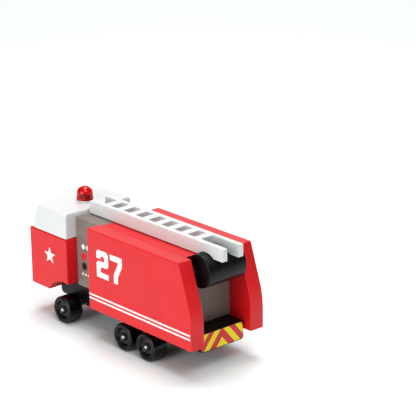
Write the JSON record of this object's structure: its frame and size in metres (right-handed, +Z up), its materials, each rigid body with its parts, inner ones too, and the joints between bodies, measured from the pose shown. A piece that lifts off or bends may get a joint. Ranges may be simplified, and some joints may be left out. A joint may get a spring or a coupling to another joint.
{
  "type": "toy fire engine",
  "caption": "Red painted wooden toy fire engine with a white cab roof, a lifting white ladder, a red beacon and black wheels.",
  "frame": {"origin": "on the floor, under the middle of the overall length and width", "axes": "+X forward towards the cab, +Y to the vehicle's left, +Z up"},
  "size_m": [0.156, 0.0542, 0.0787],
  "materials": {
    "red_paint": "satin paint over solid wood, faint grain",
    "white_paint": "satin paint over solid wood",
    "grey_paint": "satin paint over solid wood",
    "black_paint": "satin paint over solid wood",
    "tyre_black": "matt moulded plastic",
    "hub_black": "gloss moulded plastic",
    "lens_red": "clear red moulded plastic",
    "beech": "bare sanded",
    "steel": "plated, polished"
  },
  "bodies": {
    "vehicle": {"beacon_base": "white_paint", "beacon_lens": "lens_red", "cab_dowel_left": "beech", "cab_dowel_right": "beech", "cab_lower": "red_paint", "cab_upper": "white_paint", "chassis_board": "black_paint", "chassis_screw_front": "steel", "chassis_screw_rear": "steel", "front_axle_block": "black_paint", "front_block_screw_front": "steel", "front_block_screw_rear": "steel", "panel_dowel_left_front": "beech", "panel_dowel_left_rear": "beech", "panel_dowel_right_front": "beech", "panel_dowel_right_rear": "beech", "pump_block": "grey_paint", "rear_axle_block": "black_paint", "rear_block_screw_front": "steel", "rear_block_screw_rear": "steel", "roller_pivot_rod": "black_paint", "roof_deck": "red_paint", "roof_dowel_left": "beech", "roof_dowel_right": "beech", "side_panel_left": "red_paint", "side_panel_right": "red_paint"},
    "ladder_unit": {"ladder": "white_paint", "ladder_brad_left": "steel", "ladder_brad_right": "steel", "ladder_roller": "black_paint"},
    "front_wheelset": {"axle_cap_front_left": "steel", "axle_cap_front_right": "steel", "axle_front": "steel", "hub_front_left": "hub_black", "hub_front_right": "hub_black", "tyre_front_left": "tyre_black", "tyre_front_right": "tyre_black"},
    "middle_wheelset": {"axle_cap_middle_left": "steel", "axle_cap_middle_right": "steel", "axle_middle": "steel", "hub_middle_left": "hub_black", "hub_middle_right": "hub_black", "tyre_middle_left": "tyre_black", "tyre_middle_right": "tyre_black"},
    "rear_wheelset": {"axle_cap_rear_left": "steel", "axle_cap_rear_right": "steel", "axle_rear": "steel", "hub_rear_left": "hub_black", "hub_rear_right": "hub_black", "tyre_rear_left": "tyre_black", "tyre_rear_right": "tyre_black"}
  },
  "joints": [
    {"name": "ladder_lift", "type": "hinge", "parent": "vehicle", "child": "ladder_unit", "pos_m": [-0.0636, 0, 0.0594], "axis": [0, -1, 0], "range_deg": [0, 146]},
    {"name": "front_wheels_roll", "type": "hinge", "parent": "vehicle", "child": "front_wheelset", "pos_m": [0.0463, 0, 0.00825], "axis": [0, 1, 0], "continuous": true},
    {"name": "middle_wheels_roll", "type": "hinge", "parent": "vehicle", "child": "middle_wheelset", "pos_m": [-0.0116, 0, 0.00825], "axis": [0, 1, 0], "continuous": true},
    {"name": "rear_wheels_roll", "type": "hinge", "parent": "vehicle", "child": "rear_wheelset", "pos_m": [-0.0322, 0, 0.00825], "axis": [0, 1, 0], "continuous": true}
  ]
}
